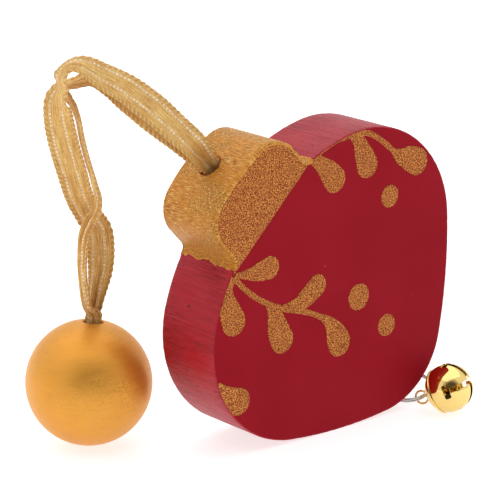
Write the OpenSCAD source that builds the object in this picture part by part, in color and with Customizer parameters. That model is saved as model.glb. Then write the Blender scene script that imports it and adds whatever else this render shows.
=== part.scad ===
// Wooden bell-shaped ornament: painted block, ribbon, wooden ball and jingle bell.
// Millimetres, +Z up, laid on a floor at Z = 0, block face towards -Y.

/* [Block] */
// Width across the shoulders
body_w = 68; // [62:1:82]
// Height from the top of the dome to the tip
body_h = 60; // [56:1:72]
// Thickness of the wooden board
board_t = 16; // [12:1:20]
// Radius of the dome under the crown
dome_r = 46; // [42:1:60]
// Radius of the round shoulders
shoulder_r = 22; // [16:1:26]
// Radius of the long flanks, which the block stands on
flank_r = 105; // [90:5:160]
// Radius of the tip
tip_r = 17; // [12:1:20]

/* [Crown] */
// Width of the crown
crown_w = 24; // [20:1:28]
// Height of the crown above the dome
crown_h = 10.2; // [8:0.2:14]
// Radius of the crown's corners
crown_corner_r = 6.5; // [4:0.5:8]
// Radius of the hollow where crown and dome meet
notch_r = 1.6; // [1:0.2:3]
// Thickness of the gold paint coat
gilding_t = 0.2; // [0.1:0.05:0.4]
// Diameter of the ribbon hole in the crown
crown_hole_d = 5; // [4.4:0.2:8]
// Depth of the ribbon hole in the crown
crown_hole_depth = 9; // [6:1:14]

/* [Print] */
// Thickness of the gold print
print_t = 0.12; // [0.1:0.02:0.3]
// Width of the printed stems
stem_w = 1.1; // [0.8:0.1:1.6]
// Radius of the largest leaves' round ends
leaf_r = 2.8; // [2.4:0.1:3.2]
// Radius of the large printed berry
berry_r = 2.7; // [2:0.1:3.2]

/* [Ribbon] */
// Width of the ribbon
ribbon_w = 6; // [4:0.5:7]
// Thickness of the ribbon
ribbon_t = 0.4; // [0.3:0.05:0.5]

/* [Ball] */
// Diameter of the wooden ball
ball_d = 25; // [20:1:28]
// Diameter of the ball's ribbon hole
ball_hole_d = 4; // [3.6:0.2:6]
// Depth of the ball's ribbon hole
ball_hole_depth = 10; // [6:1:12]

/* [Bell and ring] */
// Outside diameter of the jingle bell
bell_d = 10; // [8:0.5:12]
// Wall thickness of the bell
bell_wall = 0.35; // [0.25:0.05:0.5]
// Width of the bell's slots
slot_w = 1; // [0.6:0.1:1.4]
// Mean radius of the wire loop on the bell
loop_r = 1.35; // [1.25:0.05:1.8]
// Wire thickness of the bell's loop
loop_wire = 0.45; // [0.3:0.05:0.6]
// Diameter of the loose pellet in the bell
pellet_d = 3; // [2:0.2:4]
// Mean radius of the split ring
ring_r = 4.4; // [4.2:0.1:6]
// Wire thickness of the split ring
ring_wire = 0.5; // [0.4:0.05:0.6]
// Mean radius of the screw eye
eye_r = 1.5; // [1.4:0.1:2]
// Wire thickness of the screw eye
eye_wire = 0.9; // [0.7:0.1:1]
// Length of the screw eye's shank in the wood
shank_l = 7; // [5:1:10]

/* [Hidden] */
$fn = 48;

// Lean of the block's hanging axis as it rests on its flank.
lean = 43.4;
crown_hole_side = 0.5;
crown_hole_back = 1.3;
block_x = 12;
block_y = -5.5;
ball_reach = 17.3447;
ball_y = 12.4;
ball_lean = 6;

// Block outline: centres of its arcs, in the block's own plane.
half_w = body_w / 2;
dome_c = [0, -dome_r];
shoulder_x = half_w - shoulder_r;
shoulder_c = [shoulder_x, -dome_r + sqrt(pow(dome_r - shoulder_r, 2) - pow(shoulder_x, 2))];
tip_c = [0, tip_r - body_h];
gap_v = shoulder_c - tip_c;
gap_l = norm(gap_v);
reach_tip = flank_r - tip_r;
reach_shoulder = flank_r - shoulder_r;
along = (pow(reach_tip, 2) - pow(reach_shoulder, 2) + gap_l * gap_l) / (2 * gap_l);
aside = sqrt(reach_tip * reach_tip - along * along);
flank_c = tip_c + gap_v / gap_l * along + [-gap_v[1], gap_v[0]] / gap_l * aside;
crown_x = crown_w / 2;
crown_top_r = 40;
top_c = [0, crown_h - crown_top_r];
corner_x = crown_x - crown_corner_r;
corner_c = [corner_x, top_c[1] + sqrt(pow(crown_top_r - crown_corner_r, 2) - corner_x * corner_x)];
notch_c = [crown_x + notch_r, sqrt(pow(dome_r + notch_r, 2) - pow(crown_x + notch_r, 2)) - dome_r];

function arc(c, r, a, b, n) = [for (i = [0 : n]) c + r * [cos(a + (b - a) * i / n), sin(a + (b - a) * i / n)]];
function aim(v) = atan2(v[1], v[0]);

// Right half of the outline, grown outwards by g.
function half_outline(g) = concat(
  arc(top_c, crown_top_r + g, 90, aim(corner_c - top_c), 3),
  arc(corner_c, crown_corner_r + g, aim(corner_c - top_c), 0, 9),
  arc(notch_c, notch_r - g, 180, 360 + aim(dome_c - notch_c), 5),
  arc(dome_c, dome_r + g, aim(notch_c - dome_c), aim(shoulder_c - dome_c), 3),
  arc(shoulder_c, shoulder_r + g, aim(shoulder_c - dome_c), aim(shoulder_c - flank_c), 16),
  arc(flank_c, flank_r + g, aim(shoulder_c - flank_c), aim(tip_c - flank_c), 8),
  arc(tip_c, tip_r + g, aim(tip_c - flank_c), -90, 10)
);
function both_sides(h) = concat(h, [for (i = [len(h) - 2 : -1 : 1]) [-h[i][0], h[i][1]]]);
function no_repeats(p) = [for (i = [0 : len(p) - 1]) if (i == 0 || norm(p[i] - p[i - 1]) > 0.001) p[i]];

module outline(g = 0) {
  polygon(both_sides(no_repeats(half_outline(g))));
}

// Where the block touches the floor, before it is moved into place.
function leaned(p) = [p[0] * cos(lean) - p[1] * sin(lean), p[0] * sin(lean) + p[1] * cos(lean)];
touch = leaned([-flank_c[0], flank_c[1]]) - [0, flank_r];
function in_world(p) = [leaned(p)[0] - touch[0] + block_x, block_y, leaned(p)[1] - touch[1]];

// Places drawings made in the block's own plane, front face towards -Y.
module in_block() {
  translate([block_x - touch[0], block_y, -touch[1]]) rotate([0, -lean, 0]) rotate([90, 0, 0]) children();
}

// Frame from two directions and an origin.
function unit(v) = v / norm(v);
module in_frame(x, z, o) {
  y = cross(z, x);
  multmatrix([[x[0], y[0], z[0], o[0]], [x[1], y[1], z[1], o[1]], [x[2], y[2], z[2], o[2]], [0, 0, 0, 1]])
    children();
}

// Screw eye, split ring and bell, set out one from the other.
eye_out = eye_r + eye_wire / 2;
eye_gap = 0.15;
eye_v = -body_h - eye_gap - eye_out;
eye_c = in_world([0, eye_v]);
bell_r = bell_d / 2;
bell_tilt = 26.4;
bell_dir = [0.408 * cos(bell_tilt), -0.913 * cos(bell_tilt), sin(bell_tilt)];
bell_axis = unit(bell_dir);
loop_c = bell_r + 0.25 + loop_r;
hook_l = loop_c + 0.4;
hook_z = bell_r - hook_l * bell_axis[2];
// The bell rests on the floor, or hangs clear of it where the eye stands too high for that.
ring_drop = min(0.9, (eye_c[2] - hook_z) / (2 * ring_r));
ring_flat = sqrt(1 - ring_drop * ring_drop);
ring_dir = [-0.21 * ring_flat, -0.978 * ring_flat, -ring_drop];
hook = eye_c + 2 * ring_r * unit(ring_dir);
ring_c = (eye_c + hook) / 2;
bell_c = hook + hook_l * bell_axis;
ring_side = [0.95, -0.1, 0.3];
ring_x = unit(hook - eye_c);
ring_y = unit(ring_side - (ring_side * ring_x) * ring_x);
ring_z = cross(ring_x, ring_y);
bell_x = unit(cross([0, 0, 1], bell_axis));

// Gold print: lines and leaves in the block's own plane. A leaf's third numbers are half widths.
stem_left = [[-14.5, -3.2], [-14.4, -7.8], [-13.5, -12.5], [-11.5, -17.8], [-9.3, -21.7], [-7.6, -25], [-6.8, -27.6]];
stem_right = [[14.9, -2.3], [18, -3.4], [20.5, -4.7], [22.7, -6.3], [24.9, -8.3], [26.4, -10.2], [27.3, -13.2],
  [27.75, -15.8], [28, -18.6]];
leaves_left = [
  [[-14.4, -3.2, 0.75], [-16.5, -3.8, 0.8], [-18.2, -5.1, 1.6], [-19.7, -7.3, 2.5], [-20.6, -9.6, 2.8]],
  [[-13.8, -3.2, 0.4], [-13.2, -4.2, 0.6], [-11.7, -5.9, 1.2], [-9.8, -7.6, 1.9], [-7.8, -9.1, 2.3]],
  [[-13.4, -14.2, 0.5], [-13.3, -15.4, 0.95], [-13.8, -17.3, 1.85], [-15.1, -20, 2.55], [-15.9, -22.3, 2.75]],
  [[-11.2, -17.5, 0.4], [-10.4, -18.7, 0.8], [-8.4, -20.4, 1.5], [-6.2, -21.2, 2.05], [-3, -21.7, 2.25]],
  [[-6.8, -27, 0.5], [-6.3, -29.7, 1.15], [-6.55, -31.9, 2.1], [-7.2, -34, 2.7], [-7.6, -35.2, 2.8]],
  [[-31.3, -15.3, 0.2], [-31.4, -17.5, 1], [-31.4, -19.7, 1.95], [-31, -22.2, 2.8]],
];
leaves_right = [
  [[13.9, -1.8, 1.3], [14.2, -4.2, 1.5], [14.5, -7.1, 2.3], [14.4, -9.6, 2.7]],
  [[23.4, -6.6, 0.9], [23.5, -9.2, 1.5], [22.6, -11.8, 2.2], [21.7, -14.3, 2.65]],
  [[27.9, -17.6, 0.5], [28.4, -20.1, 1.6], [29.5, -22.1, 2.45], [30.5, -24.5, 2.8]],
];
berries = [[21.1, -23.9, 0.84], [1.95, -32.5, 1], [2.4, -43.1, 0.84]];

function curve(p, n) = [for (i = [0 : len(p) - 2]) for (j = [0 : n - 1]) mix4(p, i, j / n)];
function at(p, i) = p[max(0, min(len(p) - 1, i))];
function mix4(p, i, t) = 0.5 * (2 * at(p, i) + (at(p, i + 1) - at(p, i - 1)) * t
  + (2 * at(p, i - 1) - 5 * at(p, i) + 4 * at(p, i + 1) - at(p, i + 2)) * t * t
  + (3 * at(p, i) - at(p, i - 1) - 3 * at(p, i + 1) + at(p, i + 2)) * t * t * t);
function smooth(p, n) = concat(curve(p, n), [p[len(p) - 1]]);
function heading(p, i) = unit(at(p, i + 1) - at(p, i - 1));
function side2(p, i, w) = p[i] + w * [-heading(p, i)[1], heading(p, i)[0]];

module stem(p) {
  q = smooth(p, 3);
  n = len(q) - 1;
  polygon(concat([for (i = [0 : n]) side2(q, i, stem_w / 2)], [for (i = [n : -1 : 0]) side2(q, i, -stem_w / 2)]));
}

// A leaf swells along its line from a narrow foot to a round end.
module leaf(p) {
  q = smooth(p, 3);
  c = [for (a = q) [a[0], a[1]]];
  n = len(q) - 1;
  k = leaf_r / 2.8;
  a = aim(c[n] - c[n - 1]);
  polygon(concat([for (i = [0 : n - 1]) side2(c, i, q[i][2] * k)], arc(c[n], q[n][2] * k, a + 90, a - 90, 10),
    [for (i = [n - 1 : -1 : 0]) side2(c, i, -q[i][2] * k)]));
}

module printed() {
  in_block() translate([0, 0, board_t / 2]) linear_extrude(print_t) intersection() {
    outline();
    children();
  }
}

// Ribbon: route points with the ribbon's width there and its turn about its own length.
crown_plug_gap = 2;
ball_plug_gap = 2;
ball_r = ball_d / 2;
// The ball stands beside the block, as far from the crown's hole whatever the block's size.
ball_x = in_world([crown_hole_side, crown_h])[0] - ball_reach;
ball_c = [ball_x, ball_y, ball_r];
ball_axis = [sin(ball_lean), 0, cos(ball_lean)];
crown_axis = [-sin(lean), 0, cos(lean)];
crown_mouth = in_world([crown_hole_side, crown_h]) + [0, crown_hole_back, 0];
crown_seat = crown_mouth - crown_plug_gap * crown_axis;
ball_mouth = ball_c + ball_r * ball_axis;
ball_seat = ball_mouth - ball_plug_gap * ball_axis;
strand_gap = 0.5;
crown_mouth_w = crown_hole_d * 0.8;
ball_mouth_w = ball_hole_d * 0.62;

// Each entry is [x, y, z], share of full width, turn in degrees.
outer_route = [
  [[-17.1, -5.1, 61.7], 0.92, 22],
  [[-20.8, -4.2, 65.5], 0.95, 20],
  [[-24.9, -2.8, 69.6], 0.98, 17],
  [[-29.6, -1.5, 73.5], 0.98, 24],
  [[-34, -0.3, 76.3], 0.95, 33],
  [[-37.7, 0.8, 78.6], 0.9, 47],
  [[-40.5, 1.9, 78.8], 0.85, 64],
  [[-41.6, 2.9, 76.8], 0.85, 62],
  [[-40.9, 3.8, 74.3], 0.85, 62],
  [[-40.6, 5.5, 71.3], 0.9, 27],
  [[-39.3, 6.8, 66.9], 0.95, 15],
  [[-37.4, 7.9, 61.8], 0.95, 13],
  [[-35.1, 8.9, 56.4], 0.95, 15],
  [[-32.7, 10.1, 51.2], 0.9, 13],
  [[-29.9, 11.1, 46.8], 0.83, 10],
  [[-27.2, 11.6, 43.2], 0.83, 0],
  [[-26.3, 12.2, 39.7], 0.85, 0],
  [[-26.1, 12.7, 35.5], 0.82, 8],
  [[-26.7, 13, 31.1], 0.72, 25],
  [[-27.4, 12.9, 27.8], 0.6, 33],
];
inner_route = [
  [[-16.4, -3.5, 60.8], 0.88, 14],
  [[-19.5, -2.6, 63.8], 0.95, 16],
  [[-23.3, -1.5, 67.1], 0.97, 14],
  [[-27.4, 0, 70.8], 0.95, 21],
  [[-31, 1.4, 73.9], 0.9, 34],
  [[-34.4, 2.9, 75.5], 0.85, 52],
  [[-36.8, 4.4, 74.9], 0.8, 62],
  [[-37.9, 6, 73.9], 0.8, 72],
  [[-37.5, 6.2, 71.9], 0.8, 74],
  [[-36.5, 5.7, 69.7], 0.8, 78],
  [[-36, 5.1, 67.2], 0.85, 79],
  [[-35.2, 5, 63.1], 0.85, 79],
  [[-34.1, 4.9, 58.9], 0.85, 79],
  [[-33, 4.8, 55.1], 0.8, 78],
  [[-32.2, 4.8, 51.6], 0.7, 70],
  [[-32.2, 5.7, 48.9], 0.6, 51],
  [[-32.5, 7.3, 46.7], 0.55, 33],
  [[-32.4, 9, 44.1], 0.55, 41],
  [[-31.9, 10.4, 41.1], 0.6, 52],
  [[-31.3, 11.6, 37.5], 0.7, 61],
  [[-30.7, 12.3, 34.1], 0.7, 63],
  [[-30.2, 12.4, 30.7], 0.6, 59],
  [[-29.6, 12.2, 27.8], 0.5, 54],
];
face_dir = [-0.61, -0.74, 0.27];

// Ends of a strand follow the two holes when sizes change.
crown_seat_design = [-10.9, -4.2, 55.4];
ball_seat_design = [-28.5, 12.4, 22.9];
function eased(r) = [for (i = [0 : len(r) - 1]) let (k = (i + 1) / (len(r) + 1))
  concat(r[i][0] + (1 - k) * (crown_seat - crown_seat_design) + k * (ball_seat - ball_seat_design),
    [r[i][1] * ribbon_w, r[i][2]])];
function mouth_end(p, s, w) = concat(p + [0, s, 0], [w, 0]);
function strand(r, s) = concat(
  [mouth_end(crown_seat, s, crown_mouth_w), mouth_end(crown_mouth + crown_axis, s, crown_mouth_w)],
  eased(r),
  [mouth_end(ball_mouth + ball_axis, -s, ball_mouth_w), mouth_end(ball_seat, -s, ball_mouth_w)]
);
function place(q) = [q[0], q[1], q[2]];
function run_dir(q, i, last) = i == 0 ? crown_axis : i == last ? -ball_axis
  : unit(place(q[i + 1]) - place(q[i - 1]));
function across(t, turn) = let (w = unit(cross(face_dir, t)), n = cross(t, w)) cos(turn) * w + sin(turn) * n;
function rim(w, t) = [[w, t / 2], [w - t / 3, t], [t / 3 - w, t], [-w, t / 2], [-w, -t / 2], [t / 3 - w, -t],
  [w - t / 3, -t], [w, -t / 2]];
function ring_at(q, i) = let (
  t = run_dir(q, i, len(q) - 1), a = across(t, q[i][4]), n = cross(t, a), s = rim(q[i][3] / 2, ribbon_t / 2))
  [for (j = [0 : 7]) place(q[i]) + s[j][0] * a + s[j][1] * n];

module ribbon(route, s) {
  q = smooth(strand(route, s), 3);
  n = len(q);
  points = [for (i = [0 : n - 1]) for (p = ring_at(q, i)) p];
  walls = [for (i = [0 : n - 2]) for (j = [0 : 7]) let (a = i * 8 + j, b = i * 8 + (j + 1) % 8)
    each [[a, b, b + 8], [a, b + 8, a + 8]]];
  first = [for (j = [1 : 6]) [0, j + 1, j]];
  last = [for (j = [1 : 6]) [(n - 1) * 8, (n - 1) * 8 + j, (n - 1) * 8 + j + 1]];
  polyhedron(points, concat(walls, first, last));
}

module wood_block() {
  color([0.6, 0.1, 0.15]) in_block() difference() {
    translate([0, 0, -board_t / 2]) linear_extrude(board_t) outline();
    translate([crown_hole_side, crown_h + 1, -crown_hole_back]) rotate([90, 0, 0])
      cylinder(d = crown_hole_d, h = crown_hole_depth + 1);
    translate([0, 0, -board_t / 2 - 1]) linear_extrude(gilding_t + 1) crown_zone();
    translate([0, shank_l - body_h, 0]) rotate([90, 0, 0]) cylinder(d = eye_wire, h = shank_l + 2);
  }
}

// The gold coat wraps the crown and lies level with the wood at the back, which stays flat.
module crown_zone() {
  translate([-crown_w, notch_c[1] - notch_r]) square([2 * crown_w, 2 * crown_w]);
}

module crown_gilding() {
  color([0.8, 0.6, 0.3]) in_block() difference() {
    translate([0, 0, -board_t / 2]) linear_extrude(board_t + gilding_t) intersection() {
      outline(gilding_t);
      crown_zone();
    }
    translate([0, 0, gilding_t - board_t / 2]) linear_extrude(board_t - gilding_t) outline();
    translate([crown_hole_side, crown_h + 2, -crown_hole_back]) rotate([90, 0, 0])
      cylinder(d = crown_hole_d, h = 6);
  }
}

module print_left_sprig() {
  color([0.8, 0.55, 0.3]) printed() {
    stem(stem_left);
    for (l = leaves_left) leaf(l);
  }
}

module print_right_sprig() {
  color([0.8, 0.55, 0.3]) printed() {
    stem(stem_right);
    for (l = leaves_right) leaf(l);
  }
}

module print_berries() {
  color([0.8, 0.55, 0.3]) printed() {
    for (b = berries) translate([b[0], b[1]]) circle(r = berry_r * b[2]);
  }
}

module crown_glue_plug() {
  color([0.85, 0.8, 0.6]) in_block() translate([crown_hole_side, crown_h - crown_plug_gap, -crown_hole_back])
    rotate([90, 0, 0]) cylinder(d = crown_hole_d, h = crown_hole_depth - crown_plug_gap);
}

module ribbon_outer_strand() {
  color([0.9, 0.75, 0.45]) ribbon(outer_route, -strand_gap);
}

module ribbon_inner_strand() {
  color([0.9, 0.75, 0.45]) ribbon(inner_route, strand_gap);
}

module wood_ball() {
  color([0.8, 0.6, 0.3]) translate(ball_c) rotate([0, ball_lean, 0]) difference() {
    sphere(d = ball_d);
    translate([0, 0, ball_r - ball_hole_depth]) cylinder(d = ball_hole_d, h = ball_hole_depth + 1);
  }
}

module ball_glue_plug() {
  color([0.85, 0.8, 0.6]) translate(ball_c) rotate([0, ball_lean, 0])
    translate([0, 0, ball_r - ball_hole_depth]) cylinder(d = ball_hole_d, h = ball_hole_depth - ball_plug_gap);
}

module screw_eye() {
  color([0.8, 0.65, 0.35]) in_block() union() {
    translate([0, eye_v, 0]) rotate([0, 84, 0]) rotate_extrude() translate([eye_r, 0]) circle(d = eye_wire);
    translate([0, shank_l - body_h, 0]) rotate([90, 0, 0]) cylinder(d = eye_wire, h = shank_l + eye_gap + 0.2);
  }
}

module split_ring() {
  color([0.8, 0.8, 0.8]) in_frame(ring_x, ring_z, ring_c) rotate_extrude() union() {
    translate([ring_r, ring_wire * 0.48]) circle(d = ring_wire);
    translate([ring_r, -ring_wire * 0.48]) circle(d = ring_wire);
  }
}

seam_z = -0.42 * bell_r;
module bell_shell() {
  difference() {
    sphere(r = bell_r);
    sphere(r = bell_r - bell_wall);
  }
}

module bell_loop() {
  color([0.9, 0.75, 0.35]) in_frame(bell_x, bell_axis, bell_c) difference() {
    union() {
      translate([0, 0, -loop_c]) rotate([0, 90, 0]) rotate_extrude() translate([loop_r, 0]) circle(d = loop_wire);
      translate([0, 0, -bell_r - 0.4]) cylinder(d = 2 * loop_wire, h = 0.6);
    }
    sphere(r = bell_r);
  }
}

module bell_cap() {
  color([0.9, 0.75, 0.35]) in_frame(bell_x, bell_axis, bell_c) union() {
    intersection() {
      bell_shell();
      translate([0, 0, seam_z - bell_d]) cylinder(d = 2 * bell_d, h = bell_d);
    }
    translate([0, 0, seam_z - 0.4]) difference() {
      cylinder(r = bell_r * 0.95, h = 0.4);
      translate([0, 0, -1]) cylinder(r = bell_r * 0.88, h = 2);
    }
  }
}

module bell_slotted_shell() {
  color([0.9, 0.75, 0.35]) in_frame(bell_x, bell_axis, bell_c) difference() {
    intersection() {
      bell_shell();
      translate([0, 0, seam_z]) cylinder(d = 2 * bell_d, h = bell_d);
    }
    translate([0, 0, 0.3 * bell_r + bell_d / 2]) cube([2 * bell_d, slot_w, bell_d], center = true);
    translate([0, 0, 0.3 * bell_r + bell_d / 2]) cube([slot_w, 2 * bell_d, bell_d], center = true);
    for (a = [0 : 90 : 270]) rotate([0, 0, a]) rotate([0, 73, 0]) linear_extrude(bell_d) offset(r = slot_w * 0.3)
      square([slot_w * 0.7, slot_w * 2.3], center = true);
  }
}

module bell_pellet() {
  color([0.5, 0.5, 0.5]) translate(bell_c - [0, 0, bell_r - bell_wall - pellet_d / 2 - 0.1]) sphere(d = pellet_d);
}

wood_block();
crown_gilding();
print_left_sprig();
print_right_sprig();
print_berries();
crown_glue_plug();
ribbon_outer_strand();
ribbon_inner_strand();
wood_ball();
ball_glue_plug();
screw_eye();
split_ring();
bell_loop();
bell_cap();
bell_slotted_shell();
bell_pellet();
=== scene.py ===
import math

import bmesh
import bpy
import numpy as np
from mathutils import Matrix, Vector, noise


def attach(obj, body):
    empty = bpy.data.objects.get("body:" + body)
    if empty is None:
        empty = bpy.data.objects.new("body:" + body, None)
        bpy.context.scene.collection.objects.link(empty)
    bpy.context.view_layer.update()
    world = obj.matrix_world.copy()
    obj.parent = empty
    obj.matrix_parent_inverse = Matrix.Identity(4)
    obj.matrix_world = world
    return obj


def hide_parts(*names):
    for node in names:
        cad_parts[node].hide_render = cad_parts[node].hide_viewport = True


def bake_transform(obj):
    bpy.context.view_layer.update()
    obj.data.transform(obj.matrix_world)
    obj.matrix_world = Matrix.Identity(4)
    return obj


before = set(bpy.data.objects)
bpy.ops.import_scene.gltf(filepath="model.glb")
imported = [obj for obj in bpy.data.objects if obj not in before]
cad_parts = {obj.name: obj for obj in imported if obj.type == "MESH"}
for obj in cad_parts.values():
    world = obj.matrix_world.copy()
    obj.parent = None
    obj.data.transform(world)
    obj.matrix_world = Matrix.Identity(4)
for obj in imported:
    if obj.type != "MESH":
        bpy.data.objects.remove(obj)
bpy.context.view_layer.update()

MM = 0.001


# ---------------------------------------------------------------- camera
def rad(a):
    return math.radians(a)


CAM_AZ, CAM_EL, CAM_DIST = -39.63, 15.73, 0.4762
CAM_LENS, CAM_SENSOR = 180, 36
CAM_AIM = Vector((-0.0101, -0.0137, 0.0416))
back = Vector((math.sin(rad(CAM_AZ)) * math.cos(rad(CAM_EL)),
               -math.cos(rad(CAM_AZ)) * math.cos(rad(CAM_EL)), math.sin(rad(CAM_EL))))
cam_data = bpy.data.cameras.new("camera")
cam_data.lens = CAM_LENS
cam_data.sensor_width = CAM_SENSOR
cam_data.clip_start = 0.01
cam = bpy.data.objects.new("camera", cam_data)
bpy.context.collection.objects.link(cam)
cam.location = CAM_AIM + back * CAM_DIST
cam.rotation_euler = (-back).to_track_quat("-Z", "Y").to_euler()
bpy.context.scene.camera = cam


# ---------------------------------------------------------------- small helpers
def unit(v):
    return v / np.linalg.norm(v)


def smooth_points(p, n):
    """Catmull-Rom through rows of p, n steps a stretch."""
    p = np.asarray(p, float)
    out = []
    for i in range(len(p) - 1):
        a, b, c, d = p[max(i - 1, 0)], p[i], p[i + 1], p[min(i + 2, len(p) - 1)]
        for j in range(n):
            t = j / n
            out.append(0.5 * (2 * b + (c - a) * t + (2 * a - 5 * b + 4 * c - d) * t * t
                              + (3 * b - a - 3 * c + d) * t ** 3))
    out.append(p[-1])
    return np.array(out)


def mesh_object(name, verts, faces, body, mats, face_mat=None, uv=None, flat=()):
    """A mesh from millimetre points, riding on a body. uv gives one pair for each vertex."""
    me = bpy.data.meshes.new(name)
    me.from_pydata([tuple(float(c) * MM for c in v) for v in verts], [], faces)
    for m in mats:
        me.materials.append(m)
    if face_mat is not None:
        me.polygons.foreach_set("material_index", face_mat)
    me.polygons.foreach_set("use_smooth", [i not in flat for i in range(len(me.polygons))])
    if uv is not None:
        layer = me.uv_layers.new(name="surface")
        for loop in me.loops:
            layer.data[loop.index].uv = uv[loop.vertex_index]
    me.update()
    ob = bpy.data.objects.new(name, me)
    bpy.context.collection.objects.link(ob)
    if body:
        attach(ob, body)
    return ob


def grid_faces(rows, cols, close=False, start=0):
    """Faces between rows of points, each row closed into a ring or left open."""
    out = []
    for i in range(rows - 1):
        for j in range(cols if close else cols - 1):
            k = (j + 1) % cols
            out.append((start + i * cols + j, start + i * cols + k,
                        start + (i + 1) * cols + k, start + (i + 1) * cols + j))
    return out


def srgb(r, g, b):
    """A display colour, 0 to 255, as the linear one the nodes take."""
    def lin(c):
        c /= 255
        return c / 12.92 if c <= 0.04045 else ((c + 0.055) / 1.055) ** 2.4
    return (lin(r), lin(g), lin(b), 1)


# ---------------------------------------------------------------- sizes
LEAN, BOARD_T, BODY_H = 43.4, 16.0, 60.0
DOME_R, SHOULDER_R, FLANK_R, TIP_R, HALF_W = 46.0, 22.0, 105.0, 17.0, 34.0
CROWN_X, CROWN_H, CORNER_R, TOP_R, NOTCH_R = 12.0, 10.2, 6.5, 40.0, 1.6
BLOCK_X, BLOCK_Y = 12.0, -5.5
dome_c = np.array([0, -DOME_R])
sh_x = HALF_W - SHOULDER_R
shoulder_c = np.array([sh_x, -DOME_R + math.sqrt((DOME_R - SHOULDER_R) ** 2 - sh_x ** 2)])
tip_c = np.array([0, TIP_R - BODY_H])
gap = shoulder_c - tip_c
gap_l = np.linalg.norm(gap)
along = ((FLANK_R - TIP_R) ** 2 - (FLANK_R - SHOULDER_R) ** 2 + gap_l ** 2) / (2 * gap_l)
aside = math.sqrt((FLANK_R - TIP_R) ** 2 - along ** 2)
flank_c = tip_c + gap / gap_l * along + np.array([-gap[1], gap[0]]) / gap_l * aside
top_c = np.array([0, CROWN_H - TOP_R])
co_x = CROWN_X - CORNER_R
corner_c = np.array([co_x, top_c[1] + math.sqrt((TOP_R - CORNER_R) ** 2 - co_x ** 2)])
notch_c = np.array([CROWN_X + NOTCH_R,
                    math.sqrt((DOME_R + NOTCH_R) ** 2 - (CROWN_X + NOTCH_R) ** 2) - DOME_R])
COS, SIN = math.cos(rad(LEAN)), math.sin(rad(LEAN))
TOUCH = (-flank_c[0] * COS - flank_c[1] * SIN, -flank_c[0] * SIN + flank_c[1] * COS - FLANK_R)


def own(w, v, d):
    """Point in the block's own plane, d in front of its middle, to the frame in mm."""
    return np.array([w * COS - v * SIN - TOUCH[0] + BLOCK_X, BLOCK_Y - d, w * SIN + v * COS - TOUCH[1]])


def arc(c, r, a, b, n):
    return [(c[0] + r * math.cos(rad(a + (b - a) * i / n)), c[1] + r * math.sin(rad(a + (b - a) * i / n)))
            for i in range(n)]


def aim(v):
    """Direction of v in degrees."""
    return math.degrees(math.atan2(v[1], v[0]))


def outline():
    """The block's outline, arc by arc."""
    h = (arc(top_c, TOP_R, 90, aim(corner_c - top_c), 12)
         + arc(corner_c, CORNER_R, aim(corner_c - top_c), 0, 20)
         + arc((CROWN_X - 60, 0), 60, math.degrees(math.asin(corner_c[1] / 60)),
               math.degrees(math.asin(notch_c[1] / 60)), 6)
         + arc(notch_c, NOTCH_R, 180, 360 + aim(dome_c - notch_c), 10)
         + arc(dome_c, DOME_R, aim(notch_c - dome_c), aim(shoulder_c - dome_c), 24)
         + arc(shoulder_c, SHOULDER_R, aim(shoulder_c - dome_c), aim(shoulder_c - flank_c), 50)
         + arc(flank_c, FLANK_R, aim(shoulder_c - flank_c), aim(tip_c - flank_c), 40)
         + arc(tip_c, TIP_R, aim(tip_c - flank_c), -90, 24))
    right = h + [(0, -BODY_H)]
    left = [(-x, y) for x, y in reversed(right[1:-1])]
    return np.array(right + left)


def evenly(p, n):
    """n points along a closed outline, spaced evenly by length, and the outline's length."""
    q = np.vstack([p, p[:1]])
    s = np.r_[0, np.cumsum(np.linalg.norm(np.diff(q, axis=0), axis=1))]
    t = np.linspace(0, s[-1], n, endpoint=False)
    return np.c_[np.interp(t, s, q[:, 0]), np.interp(t, s, q[:, 1])], s[-1]


# Clockwise from the middle of the crown's top.
EDGE, EDGE_LEN = evenly(outline(), 720)
tangent = np.roll(EDGE, -1, 0) - np.roll(EDGE, 1, 0)
tangent /= np.linalg.norm(tangent, axis=1)[:, None]
EDGE_N = np.c_[-tangent[:, 1], tangent[:, 0]]
for _ in range(3):
    EDGE_N = (np.roll(EDGE_N, 1, 0) + EDGE_N + np.roll(EDGE_N, -1, 0)) / 3
EDGE_N /= np.linalg.norm(EDGE_N, axis=1)[:, None]


def edge_at(s, g):
    """Point at length s along the outline, g outside it."""
    f = (s / EDGE_LEN * len(EDGE)) % len(EDGE)
    i = int(f)
    k = f - i
    a = EDGE[i] + g * EDGE_N[i]
    b = EDGE[(i + 1) % len(EDGE)] + g * EDGE_N[(i + 1) % len(EDGE)]
    return a * (1 - k) + b * k


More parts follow.
